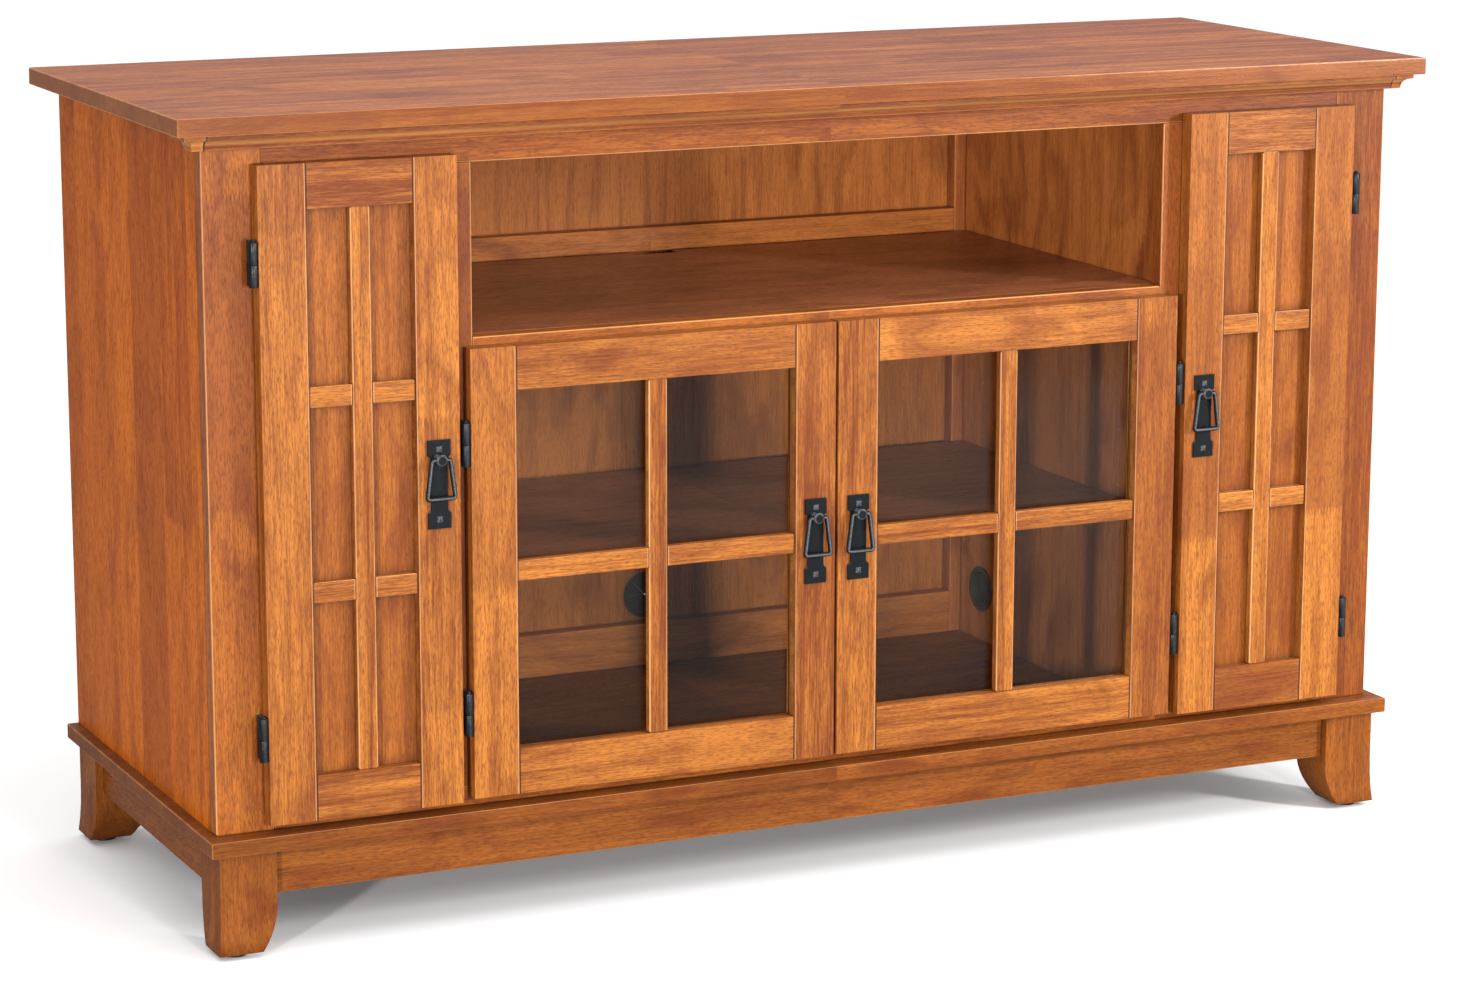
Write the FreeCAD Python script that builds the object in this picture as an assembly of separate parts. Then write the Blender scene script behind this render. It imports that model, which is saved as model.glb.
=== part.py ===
"""Media cabinet in the mission style: an open bay over two glazed doors, with a panelled door each side.

Millimetres. +X is to the right of someone facing the doors, +Y is towards the wall, +Z is up.
The origin is on the floor, under the middle of the whole cabinet.
"""
import FreeCAD, Part
import math
import os
from FreeCAD import Vector

# ---- overall sizes --------------------------------------------------------------------------------
overall_width = 1422.0       # across the top board
overall_depth = 518.0        # front edge of the top board to the back
overall_height = 850.0       # floor to the top board's upper face

# ---- top board and the moulding under it ------------------------------------------------------------
top_thickness = 18.0
top_overhang = 32.0          # past the carcass at the front and both sides
crown_height = 16.5
crown_projection = 22.5      # of its widest part from the carcass
crown_fillet_height = 5.5    # square band at its top
crown_step = 2.5             # where the hollow starts, behind the band
crown_foot_projection = 12.5
crown_foot_height = 1.5

# ---- base: levelers, legs, aprons and the board they carry ------------------------------------------
foot_radius = 11.5
foot_thickness = 5.0
foot_lift = 6.0              # floor to the underside of the legs
stem_radius = 4.0
stem_length = 34.0
stem_running_fit = 0.05
stem_bore_play = 0.6
nut_radius = 6.5
nut_length = 13.0
leg_height = 105.0
leg_width = 60.0
leg_front_projection = 14.0  # of the legs' faces from the carcass
leg_side_projection = 2.0
leg_rear_inset = 8.0
leg_curve_height = 49.0      # of the curved lower part
leg_inner_sweep = 17.0       # how far the inner faces curve outwards at the floor end
leg_flare = 3.0              # how far the outer faces kick out at the floor end
apron_height = 49.0
apron_thickness = 19.0
apron_setback = 9.0          # behind the legs' outer faces
base_thickness = 16.0
base_front_lip = 25.0        # past the carcass
base_side_lip = 13.0

# ---- carcass and face frame -------------------------------------------------------------------------
panel_thickness = 19.0       # sides and partitions
frame_thickness = 19.0
outer_stile_width = 61.0
inner_stile_width = 33.0
side_opening_width = 186.0   # behind each panelled door
top_rail_height = 42.5
bottom_rail_height = 21.5
bay_height = 176.5           # clear height of the open bay
shelf_thickness = 19.0
back_thickness = 5.0
back_inset = 2.0
back_frame_thickness = 19.0
back_stile_width = 15.0
bottom_back_rail_height = 50.0
bay_back_rail_height = 27.0
top_back_rail_height = 50.0

# ---- cable ways -------------------------------------------------------------------------------------
notch_width = 52.0
notch_depth = 20.0
port_radius = 23.5
port_wall = 2.5
port_flange_radius = 27.0
port_flange_thickness = 2.0
side_port_height = 62.0      # above the cabinet's floor
side_port_back_distance = 52.0
back_port_height = 80.0

# ---- adjustable shelves ------------------------------------------------------------------------------
loose_shelf_thickness = 16.0
loose_shelf_play = 1.5
loose_shelf_front_inset = 30.0
loose_shelf_back_play = 5.0
center_shelf_height = 218.5  # floor of the cabinet to the shelf's underside
side_shelf_height = 325.0
shelf_pin_radius = 2.5
shelf_pin_depth = 8.0
shelf_pin_reach = 9.0
shelf_pin_inset = 45.0       # from the shelf's front and back edges
pin_hole_pitch = 32.0
pin_holes_above = 3
pin_holes_below = 2

# ---- doors -------------------------------------------------------------------------------------------
door_thickness = 18.0
door_gap = 2.0               # between the face frame and the doors' backs
panel_door_bottom_overlay = 12.0
glass_door_bottom_overlay = 9.5
meeting_gap = 3.5            # between the two glazed doors
hinge_stile_width = 49.5
latch_stile_width = 46.5
door_top_rail_width = 45.0
door_bottom_rail_width = 47.0
bar_width = 20.5             # of the bars across the panels and the glass
bar_setback = 1.0            # behind the doors' faces
door_panel_thickness = 5.0
groove_depth = 8.0
groove_play = 1.0            # at the panel's edges
glass_thickness = 4.0
rabbet_depth = 8.0
glass_play = 1.0
stop_thickness = 3.0         # of the strips that hold the glass

# ---- hinges ------------------------------------------------------------------------------------------
hinge_length = 44.5
knuckle_door_gap = 0.4       # knuckle to the edge of its own door
knuckle_side_gap = 2.4       # knuckle to the edge of the next door
hinge_axis_setback = 2.0     # behind the door's face
knuckle_radius = 4.6
knuckle_gap = 0.3
hinge_pin_radius = 2.0
hinge_pin_fit = 0.05
hinge_plate = 1.3
hinge_finial_radius = 3.0
hinge_finial_height = 2.6
hinge_leaf_reach = 15.0      # of the frame leaf under the door
hinge_leaf_depth = 13.0      # of the door leaf along the door's edge
lower_hinge_height = 89.0    # door's bottom edge to the hinge's middle
upper_hinge_drop = 97.0      # door's top edge to the hinge's middle

# ---- catches -----------------------------------------------------------------------------------------
catch_length = 42.0
catch_width = 13.0
catch_depth = 28.0
catch_setback = 0.5

# ---- drop pulls --------------------------------------------------------------------------------------
plate_height = 90.5
plate_width = 24.4
plate_waist = 17.8
plate_thickness = 2.2
plate_head_height = 16.0
plate_shoulder = 5.0         # height of the curve from the head to the waist
stud_inset = 9.4
stud_size = 6.0
stud_height = 2.4
stud_shank_radius = 1.2
stud_shank_length = 10.0
boss_drop = 19.5             # plate's top to the bail's pivot
boss_radius = 6.0
boss_length = 9.3
boss_round = 2.6
bail_bar_radius = 2.4
bail_running_fit = 0.05
bail_standoff = 5.0          # plate's face to the bail's plane
bail_top_width = 19.6
bail_bottom_width = 29.8
bail_length = 39.7
bail_corner_radius = 4.5
pull_rise = 2.0              # pulls' middle above the doors' middle

# ---- places worked out from the sizes ----------------------------------------------------------------
front_y = -overall_depth / 2
back_y = overall_depth / 2
face_y = front_y + top_overhang                       # front of the face frame
half_carcass = overall_width / 2 - top_overhang       # centre line to the carcass's side
leg_top = foot_lift + leg_height
floor_z = leg_top + base_thickness                    # upper face of the base board: the cabinet's floor
carcass_top = overall_height - top_thickness
frame_back_y = face_y + frame_thickness
back_panel_y = back_y - back_inset - back_thickness   # front of the back panel
back_frame_y = back_panel_y - back_frame_thickness    # front of the back rails
opening_bottom = floor_z + bottom_rail_height
opening_top = carcass_top - top_rail_height
bay_floor = opening_top - bay_height
glass_opening_top = bay_floor - shelf_thickness
half_center = half_carcass - outer_stile_width - side_opening_width - inner_stile_width
stile_middle = half_center + inner_stile_width / 2
partition_inner = stile_middle - panel_thickness / 2
partition_outer = stile_middle + panel_thickness / 2
hinge_axis_offset = knuckle_radius + knuckle_door_gap  # outside the door's edge
door_spacing = hinge_axis_offset + knuckle_radius + knuckle_side_gap  # doors over one inner stile
door_overlay = (inner_stile_width - door_spacing) / 2  # over the face frame at the sides and the top
pane_recess = door_thickness - stop_thickness - glass_thickness  # door face to the panel or the glass
door_back_y = face_y - door_gap
door_face_y = door_back_y - door_thickness
pane_y = door_face_y + pane_recess
hinge_axis_y = door_face_y + hinge_axis_setback


def box(x0, x1, y0, y1, z0, z1):
    """Box between two corners, given as pairs along each axis."""
    return Part.makeBox(x1 - x0, y1 - y0, z1 - z0, Vector(x0, y0, z0))


def rod(radius, length, start, direction):
    return Part.makeCylinder(radius, length, start, direction)


def mirrored(shape):
    """The same piece on the other side of the cabinet."""
    return shape.mirror(Vector(0, 0, 0), Vector(1, 0, 0))


def pair(shape):
    return Part.makeCompound([shape, mirrored(shape)])


def sided(shape, side):
    """Pieces are drawn on the left, and mirrored for the right."""
    return shape if side == "left" else mirrored(shape)


# ---- top ------------------------------------------------------------------------------------------------
def top_board():
    half = overall_width / 2
    return box(-half, half, front_y, back_y, carcass_top, overall_height)


def crown_profile():
    """Moulding's section as (distance from the carcass, height) pairs: a band, a step and a hollow."""
    top = carcass_top
    bottom = top - crown_height
    hollow_top = Vector(crown_projection - crown_step, 0, top - crown_fillet_height)
    hollow_end = Vector(crown_foot_projection, 0, bottom + crown_foot_height)
    chord = hollow_end - hollow_top
    inward = Vector(-0.18 * abs(chord.z), 0, 0.18 * abs(chord.x))
    middle = (hollow_top + hollow_end) * 0.5 + inward
    edges = [
        Part.LineSegment(Vector(0, 0, top), Vector(crown_projection, 0, top)),
        Part.LineSegment(Vector(crown_projection, 0, top), Vector(crown_projection, 0, hollow_top.z)),
        Part.LineSegment(Vector(crown_projection, 0, hollow_top.z), hollow_top),
        Part.Arc(hollow_top, middle, hollow_end),
        Part.LineSegment(hollow_end, Vector(crown_foot_projection, 0, bottom)),
        Part.LineSegment(Vector(crown_foot_projection, 0, bottom), Vector(0, 0, bottom)),
        Part.LineSegment(Vector(0, 0, bottom), Vector(0, 0, top)),
    ]
    return Part.Face(Part.Wire([edge.toShape() for edge in edges]))


def mitre_block(size):
    """Half space behind the mitre at the carcass's front right corner, as a big turned box."""
    block = Part.makeBox(size, size, size, Vector(0, 0, -size / 2))
    block.rotate(Vector(0, 0, 0), Vector(0, 0, 1), -45)
    block.translate(Vector(half_carcass, face_y, carcass_top))
    return block


def crown_moulding():
    """Front length and two returns, mitred at the front corners."""
    reach = crown_projection + 10
    size = 4 * overall_width
    front = crown_profile()
    front.rotate(Vector(0, 0, 0), Vector(0, 0, 1), -90)
    front.translate(Vector(-half_carcass - reach, face_y, 0))
    front = front.extrude(Vector(2 * (half_carcass + reach), 0, 0))
    front = front.cut(mitre_block(size)).cut(mirrored(mitre_block(size)))
    side = crown_profile()
    side.translate(Vector(half_carcass, face_y - reach, 0))
    side = side.extrude(Vector(0, back_y - face_y + reach, 0))
    side = side.common(mitre_block(size))
    return Part.makeCompound([front, side, mirrored(side)])


# ---- base -----------------------------------------------------------------------------------------------
def base_board():
    half = half_carcass + base_side_lip
    return box(-half, half, face_y - base_front_lip, back_y, leg_top, floor_z)


def arc_of_sweep(start, sweep, height):
    """Arc that leaves start straight down and ends sweep further out, height lower, in the XZ plane."""
    radius = (height ** 2 + sweep ** 2) / (2 * abs(sweep))
    half_angle = math.asin(height / radius) / 2
    out = math.copysign(radius * (1 - math.cos(half_angle)), sweep)
    middle = start + Vector(out, 0, -radius * math.sin(half_angle))
    return Part.Arc(start, middle, start + Vector(sweep, 0, -height))


def leg_profile():
    """Leg's outline seen from the front, with its outer face at x = 0 and its inner face at +x."""
    curve_z = foot_lift + leg_curve_height
    top_out = Vector(0, 0, leg_top)
    top_in = Vector(leg_width, 0, leg_top)
    curve_in = Vector(leg_width, 0, curve_z)
    curve_out = Vector(0, 0, curve_z)
    foot_in = Vector(leg_width - leg_inner_sweep, 0, foot_lift)
    foot_out = Vector(-leg_flare, 0, foot_lift)
    edges = [
        Part.LineSegment(top_out, top_in),
        Part.LineSegment(top_in, curve_in),
        arc_of_sweep(curve_in, -leg_inner_sweep, leg_curve_height),
        Part.LineSegment(foot_in, foot_out),
        arc_of_sweep(curve_out, -leg_flare, leg_curve_height),
        Part.LineSegment(curve_out, top_out),
    ]
    return Part.Face(Part.Wire([edge.toShape() for edge in edges]))


leg_outer_x = half_carcass + leg_side_projection
leg_front_y = face_y - leg_front_projection
leg_rear_y = back_y - leg_rear_inset
foot_center = (leg_width - leg_inner_sweep - leg_flare) / 2
foot_places = {
    "front": Vector(-leg_outer_x + foot_center, leg_front_y + foot_center, 0),
    "rear": Vector(-leg_outer_x + foot_center, leg_rear_y - foot_center, 0),
}


def leg(place):
    """Left leg: the same curved outline seen from the front and from the side."""
    span = leg_width + 4 * leg_flare
    from_front = leg_profile().extrude(Vector(0, span, 0))
    from_front.translate(Vector(0, -2 * leg_flare, 0))
    from_side = leg_profile()
    from_side.rotate(Vector(0, 0, 0), Vector(0, 0, 1), 90)
    from_side = from_side.extrude(Vector(span, 0, 0))
    from_side.translate(Vector(-2 * leg_flare, 0, 0))
    body = from_front.common(from_side)
    if place == "rear":
        body = body.mirror(Vector(0, 0, 0), Vector(0, 1, 0))
    corner_y = leg_front_y if place == "front" else leg_rear_y
    body.translate(Vector(-leg_outer_x, corner_y, 0))
    center = foot_places[place]
    up = Vector(0, 0, 1)
    nut_hole = rod(nut_radius, nut_length, center + up * foot_lift, up)
    stem_hole = rod(stem_radius + stem_bore_play, stem_length, center + up * foot_lift, up)
    return body.cut(nut_hole).cut(stem_hole)


def leveler_nuts():
    up = Vector(0, 0, 1)
    nuts = []
    for center in foot_places.values():
        outer = rod(nut_radius, nut_length, center + up * foot_lift, up)
        inner = rod(stem_radius + stem_running_fit, nut_length, center + up * foot_lift, up)
        nut = outer.cut(inner)
        nuts += [nut, mirrored(nut)]
    return Part.makeCompound(nuts)


def leveler(place):
    """Disc foot with a chamfered upper edge, on a threaded stem drawn as a plain rod."""
    center = foot_places[place]
    up = Vector(0, 0, 1)
    rim = foot_thickness * 0.6
    disc = rod(foot_radius, rim, center, up)
    shoulder = Part.makeCone(foot_radius, foot_radius * 0.72, foot_thickness - rim, center + up * rim, up)
    stem = rod(stem_radius, stem_length, center + up * (foot_thickness - 1), up)
    return disc.fuse([shoulder, stem]).removeSplitter()


def long_apron(place):
    reach = leg_outer_x - leg_width
    if place == "front":
        y0 = leg_front_y + apron_setback
    else:
        y0 = leg_rear_y - apron_setback - apron_thickness
    return box(-reach, reach, y0, y0 + apron_thickness, leg_top - apron_height, leg_top)


def side_aprons():
    x0 = -leg_outer_x + apron_setback
    y0 = leg_front_y + leg_width
    y1 = leg_rear_y - leg_width
    return pair(box(x0, x0 + apron_thickness, y0, y1, leg_top - apron_height, leg_top))


# ---- carcass --------------------------------------------------------------------------------------------
def pin_rows(y0, y1, underside):
    """Centres of the shelf pin holes, in the YZ plane, for a shelf between y0 and y1."""
    rows = []
    for y in (y0 + shelf_pin_inset, y1 - shelf_pin_inset):
        for step in range(-pin_holes_below, pin_holes_above + 1):
            rows.append((y, underside - shelf_pin_radius + step * pin_hole_pitch))
    return rows


shelf_y0 = frame_back_y + loose_shelf_front_inset
shelf_y1 = back_frame_y - loose_shelf_back_play
center_shelf_z = floor_z + center_shelf_height
side_shelf_z = floor_z + side_shelf_height
side_port_y = back_frame_y - side_port_back_distance
side_port_z = floor_z + side_port_height
back_port_z = floor_z + back_port_height


def pin_holes(x_face, direction, underside):
    """Blind holes drilled into a face at x_face, going in along direction (+1 or -1)."""
    way = Vector(direction, 0, 0)
    holes = []
    for y, z in pin_rows(shelf_y0, shelf_y1, underside):
        holes.append(rod(shelf_pin_radius, shelf_pin_depth, Vector(x_face, y, z), way))
    return holes


def side_panel():
    inner = -half_carcass + panel_thickness
    board = box(-half_carcass, inner, frame_back_y, back_y, floor_z, carcass_top)
    return board.cut(pin_holes(inner, -1, side_shelf_z))


def partition():
    board = box(-partition_outer, -partition_inner, frame_back_y, back_panel_y, floor_z, carcass_top)
    port = rod(port_radius, panel_thickness, Vector(-partition_outer, side_port_y, side_port_z),
               Vector(1, 0, 0))
    holes = pin_holes(-partition_inner, -1, center_shelf_z) + pin_holes(-partition_outer, 1, side_shelf_z)
    return board.cut([port] + holes)


def outer_stiles():
    return pair(box(-half_carcass, -half_carcass + outer_stile_width, face_y, frame_back_y,
                    floor_z, carcass_top))


def inner_stiles():
    return pair(box(-half_center - inner_stile_width, -half_center, face_y, frame_back_y,
                    opening_bottom, opening_top))


def frame_rail(z0, z1):
    half = half_carcass - outer_stile_width
    return box(-half, half, face_y, frame_back_y, z0, z1)


def bay_shelf():
    """Fixed shelf under the open bay, with a cable notch in its back edge."""
    board = box(-partition_inner, partition_inner, frame_back_y, back_frame_y, glass_opening_top, bay_floor)
    notch = box(-notch_width / 2, notch_width / 2, back_frame_y - notch_depth, back_frame_y,
                glass_opening_top, bay_floor)
    return board.cut(notch)


def bay_shelf_edge():
    return box(-half_center, half_center, face_y, frame_back_y, glass_opening_top, bay_floor)


def back_panel():
    half = half_carcass - panel_thickness
    board = box(-half, half, back_panel_y, back_panel_y + back_thickness, floor_z, carcass_top)
    return board.cut(rod(port_radius, back_thickness, Vector(0, back_panel_y, back_port_z), Vector(0, 1, 0)))


def back_stiles():
    return pair(box(-partition_inner, -partition_inner + back_stile_width, back_frame_y, back_panel_y,
                    floor_z, carcass_top))


def back_rails():
    half = partition_inner - back_stile_width
    heights = [
        (floor_z, floor_z + bottom_back_rail_height),
        (bay_floor, bay_floor + bay_back_rail_height),
        (carcass_top - top_back_rail_height, carcass_top),
    ]
    return Part.makeCompound([box(-half, half, back_frame_y, back_panel_y, z0, z1) for z0, z1 in heights])


def loose_shelf(x0, x1, underside):
    return box(x0 + loose_shelf_play, x1 - loose_shelf_play, shelf_y0, shelf_y1,
               underside, underside + loose_shelf_thickness)


def shelf_pins():
    """Four pins for each loose shelf, each half in its board and half under the shelf."""
    length = shelf_pin_depth + shelf_pin_reach
    pins = []
    for y in (shelf_y0 + shelf_pin_inset, shelf_y1 - shelf_pin_inset):
        for x, underside in (
            (-partition_inner - shelf_pin_depth, center_shelf_z),
            (-half_carcass + panel_thickness - shelf_pin_depth, side_shelf_z),
            (-partition_outer - shelf_pin_reach, side_shelf_z),
        ):
            pin = rod(shelf_pin_radius, length, Vector(x, y, underside - shelf_pin_radius), Vector(1, 0, 0))
            pins += [pin, mirrored(pin)]
    return Part.makeCompound(pins)


def grommet(face, outward, wall):
    """Flanged sleeve through a wall. face is the middle of its flanged end, outward points out of it."""
    inner_radius = port_radius - port_wall
    flange = rod(port_flange_radius, port_flange_thickness, face, outward)
    sleeve = rod(port_radius, wall, face - outward * wall, outward)
    hole = rod(inner_radius, wall + port_flange_thickness, face - outward * wall, outward)
    return flange.fuse(sleeve).cut(hole)


def cable_grommets():
    side = grommet(Vector(-partition_inner, side_port_y, side_port_z), Vector(1, 0, 0), panel_thickness)
    back = grommet(Vector(0, back_panel_y, back_port_z), Vector(0, -1, 0), back_thickness)
    return Part.makeCompound([side, mirrored(side), back])


def door_catches():
    """Magnet blocks beside each door's latch edge."""
    y0 = face_y + catch_setback
    stile_edge = -half_center - inner_stile_width
    middle_z = (opening_bottom + opening_top) / 2
    at_stile = box(stile_edge - catch_width, stile_edge, y0, y0 + catch_depth,
                   middle_z - catch_length / 2, middle_z + catch_length / 2)
    x1 = -meeting_gap
    under_shelf = box(x1 - catch_length, x1, y0, y0 + catch_depth,
                      glass_opening_top - catch_width, glass_opening_top)
    return Part.makeCompound([at_stile, mirrored(at_stile), under_shelf, mirrored(under_shelf)])


# ---- doors ----------------------------------------------------------------------------------------------
class DoorPlan:
    """Sizes and places of one left-hand door, hinged on its left edge."""

    def __init__(self, x0, x1, z0, z1):
        self.x0, self.x1, self.z0, self.z1 = x0, x1, z0, z1
        self.open_x0 = x0 + hinge_stile_width
        self.open_x1 = x1 - latch_stile_width
        self.open_z0 = z0 + door_bottom_rail_width
        self.open_z1 = z1 - door_top_rail_width
        self.axis_x = x0 - hinge_axis_offset
        self.hinge_heights = (z0 + lower_hinge_height, z1 - upper_hinge_drop)
        self.pull_x = x1 - latch_stile_width / 2
        self.middle_z = (z0 + z1) / 2


panel_door = DoorPlan(
    -half_carcass + outer_stile_width - door_overlay,
    -half_center - inner_stile_width + door_overlay,
    opening_bottom - panel_door_bottom_overlay,
    opening_top + door_overlay,
)
glass_door = DoorPlan(
    -half_center - door_overlay,
    -meeting_gap / 2,
    opening_bottom - glass_door_bottom_overlay,
    glass_opening_top + door_overlay,
)
pull_heights = {"panel": panel_door.middle_z + pull_rise, "glass": glass_door.middle_z + pull_rise}


def stud_places(plan, pull_z):
    """Where the two studs of a door's pull go, on the door's face."""
    reach = plate_height / 2 - stud_inset
    return [Vector(plan.pull_x, door_face_y, pull_z + reach), Vector(plan.pull_x, door_face_y, pull_z - reach)]


def door_frame(plan, pull_z):
    """Two full-height stiles with the rails between them: four boards, before the grooves."""
    y0, y1 = door_face_y, door_back_y
    hinge_stile = box(plan.x0, plan.open_x0, y0, y1, plan.z0, plan.z1)
    for z in plan.hinge_heights:
        hinge_stile = hinge_stile.cut(box(plan.x0, plan.x0 + hinge_plate, hinge_axis_y - hinge_plate / 2,
                                          hinge_axis_y - hinge_plate / 2 + hinge_leaf_depth,
                                          z - hinge_length / 2, z + hinge_length / 2))
    latch_stile = box(plan.open_x1, plan.x1, y0, y1, plan.z0, plan.z1)
    for place in stud_places(plan, pull_z):
        shank = rod(stud_shank_radius, stud_shank_length - plate_thickness, place, Vector(0, 1, 0))
        latch_stile = latch_stile.cut(shank)
    bottom_rail = box(plan.open_x0, plan.open_x1, y0, y1, plan.z0, plan.open_z0)
    top_rail = box(plan.open_x0, plan.open_x1, y0, y1, plan.open_z1, plan.z1)
    return [hinge_stile, latch_stile, bottom_rail, top_rail]


def grooved_frame(plan, pull_z):
    """Frame of a panelled door, with a groove all round its inside for the panel."""
    groove = box(plan.open_x0 - groove_depth, plan.open_x1 + groove_depth, pane_y,
                 pane_y + door_panel_thickness, plan.open_z0 - groove_depth, plan.open_z1 + groove_depth)
    return Part.makeCompound([board.cut(groove) for board in door_frame(plan, pull_z)])


def rabbeted_frame(plan, pull_z):
    """Frame of a glazed door, with a rabbet behind its inside edge for the glass."""
    rabbet = box(plan.open_x0 - rabbet_depth, plan.open_x1 + rabbet_depth, pane_y, door_back_y,
                 plan.open_z0 - rabbet_depth, plan.open_z1 + rabbet_depth)
    return Part.makeCompound([board.cut(rabbet) for board in door_frame(plan, pull_z)])


def door_panel(plan):
    reach = groove_depth - groove_play
    return box(plan.open_x0 - reach, plan.open_x1 + reach, pane_y, pane_y + door_panel_thickness,
               plan.open_z0 - reach, plan.open_z1 + reach)


def door_bars(plan, cross_count):
    """One upright bar with short cross bars each side of it, in front of the panel or the glass."""
    y0 = door_face_y + bar_setback
    y1 = pane_y
    middle = (plan.open_x0 + plan.open_x1) / 2
    bars = [box(middle - bar_width / 2, middle + bar_width / 2, y0, y1, plan.open_z0, plan.open_z1)]
    pitch = (plan.open_z1 - plan.open_z0 + bar_width) / (cross_count + 1)
    for step in range(1, cross_count + 1):
        z0 = plan.open_z0 - bar_width + step * pitch
        bars.append(box(plan.open_x0, middle - bar_width / 2, y0, y1, z0, z0 + bar_width))
        bars.append(box(middle + bar_width / 2, plan.open_x1, y0, y1, z0, z0 + bar_width))
    return Part.makeCompound(bars)


def glass_pane(plan):
    reach = rabbet_depth - glass_play
    return box(plan.open_x0 - reach, plan.open_x1 + reach, pane_y, pane_y + glass_thickness,
               plan.open_z0 - reach, plan.open_z1 + reach)


def glass_stops(plan):
    """Strips that hold the glass in its rabbet: two uprights with two lengths between them."""
    y0 = pane_y + glass_thickness
    y1 = door_back_y
    x0 = plan.open_x0 - rabbet_depth
    x1 = plan.open_x1 + rabbet_depth
    z0 = plan.open_z0 - rabbet_depth
    z1 = plan.open_z1 + rabbet_depth
    return Part.makeCompound([
        box(x0, plan.open_x0, y0, y1, z0, z1),
        box(plan.open_x1, x1, y0, y1, z0, z1),
        box(plan.open_x0, plan.open_x1, y0, y1, z0, plan.open_z0),
        box(plan.open_x0, plan.open_x1, y0, y1, plan.open_z1, z1),
    ])


# ---- hinges ---------------------------------------------------------------------------------------------
def door_leaves(plan):
    """Upper knuckle of each hinge, with the plate let into the door's edge."""
    up = Vector(0, 0, 1)
    half_length = hinge_length / 2
    leaves = []
    for z in plan.hinge_heights:
        foot = Vector(plan.axis_x, hinge_axis_y, z + knuckle_gap / 2)
        knuckle = rod(knuckle_radius, half_length - knuckle_gap / 2, foot, up)
        tab = box(plan.axis_x, plan.x0 + hinge_plate / 2, hinge_axis_y - hinge_plate / 2,
                  hinge_axis_y + hinge_plate / 2, z + knuckle_gap / 2, z + half_length)
        plate = box(plan.x0, plan.x0 + hinge_plate, hinge_axis_y - hinge_plate / 2,
                    hinge_axis_y - hinge_plate / 2 + hinge_leaf_depth, z - half_length, z + half_length)
        bore = rod(hinge_pin_radius + hinge_pin_fit, half_length, foot, up)
        leaves.append(knuckle.fuse([tab, plate]).cut(bore).removeSplitter())
    return Part.makeCompound(leaves)


def frame_leaves(plan):
    """Lower knuckle of each hinge, with a web back to the plate on the face frame."""
    up = Vector(0, 0, 1)
    half_length = hinge_length / 2
    leaves = []
    for z in plan.hinge_heights:
        foot = Vector(plan.axis_x, hinge_axis_y, z - half_length)
        knuckle = rod(knuckle_radius, half_length - knuckle_gap / 2, foot, up)
        web = box(plan.axis_x - hinge_plate / 2, plan.axis_x + hinge_plate / 2, hinge_axis_y, face_y,
                  z - half_length, z - knuckle_gap / 2)
        plate = box(plan.axis_x - hinge_plate / 2, plan.axis_x + hinge_leaf_reach, face_y - hinge_plate,
                    face_y, z - half_length, z + half_length)
        bore = rod(hinge_pin_radius, half_length, foot, up)
        leaves.append(knuckle.fuse([web, plate]).cut(bore).removeSplitter())
    return leaves


def hinge_pins(plan):
    """Pin of each hinge: fast in the lower knuckle, with a small cap over the upper one."""
    up = Vector(0, 0, 1)
    pins = []
    for z in plan.hinge_heights:
        foot = Vector(plan.axis_x, hinge_axis_y, z - hinge_length / 2)
        shank = rod(hinge_pin_radius, hinge_length + knuckle_gap, foot, up)
        cap_foot = foot + up * (hinge_length + knuckle_gap)
        cap = Part.makeCone(hinge_finial_radius, hinge_finial_radius * 0.45, hinge_finial_height, cap_foot, up)
        pins.append(shank.fuse(cap).removeSplitter())
    return pins


# ---- drop pulls -----------------------------------------------------------------------------------------
def plate_outline(pull_x, pull_z):
    """Waisted outline of a pull's plate, as a face on the door's face plane."""
    half = plate_height / 2
    wide = plate_width / 2
    waist = plate_waist / 2
    neck = half - plate_head_height
    bend = neck - plate_shoulder
    blend = (wide - waist) * 0.75
    y = door_face_y

    def at(x, z):
        return Vector(pull_x + x, y, pull_z + z)

    edges = [
        Part.LineSegment(at(-wide, half), at(wide, half)),
        Part.LineSegment(at(wide, half), at(wide, neck)),
        Part.Arc(at(wide, neck), at(waist + blend * 0.35, neck - plate_shoulder * 0.35), at(waist, bend)),
        Part.LineSegment(at(waist, bend), at(waist, -bend)),
        Part.Arc(at(waist, -bend), at(waist + blend * 0.35, -neck + plate_shoulder * 0.35), at(wide, -neck)),
        Part.LineSegment(at(wide, -neck), at(wide, -half)),
        Part.LineSegment(at(wide, -half), at(-wide, -half)),
        Part.LineSegment(at(-wide, -half), at(-wide, -neck)),
        Part.Arc(at(-wide, -neck), at(-waist - blend * 0.35, -neck + plate_shoulder * 0.35),
                 at(-waist, -bend)),
        Part.LineSegment(at(-waist, -bend), at(-waist, bend)),
        Part.Arc(at(-waist, bend), at(-waist - blend * 0.35, neck - plate_shoulder * 0.35), at(-wide, neck)),
        Part.LineSegment(at(-wide, neck), at(-wide, half)),
    ]
    return Part.Face(Part.Wire([edge.toShape() for edge in edges]))


def bail_pivot(plan, pull_z):
    return Vector(plan.pull_x, door_face_y - plate_thickness - bail_standoff,
                  pull_z + plate_height / 2 - boss_drop)


def stud(place):
    """Square nail: a pyramid head on the plate and a round shank into the door."""
    half = stud_size / 2
    tip = 0.4
    head = Part.makeWedge(-half, 0, -half, -tip, -tip, half, stud_height, half, tip, tip)
    head.rotate(Vector(0, 0, 0), Vector(1, 0, 0), 180)
    head.translate(place - Vector(0, plate_thickness, 0))
    shank = rod(stud_shank_radius, stud_shank_length, place - Vector(0, plate_thickness, 0), Vector(0, 1, 0))
    return head.fuse(shank).removeSplitter()


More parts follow.
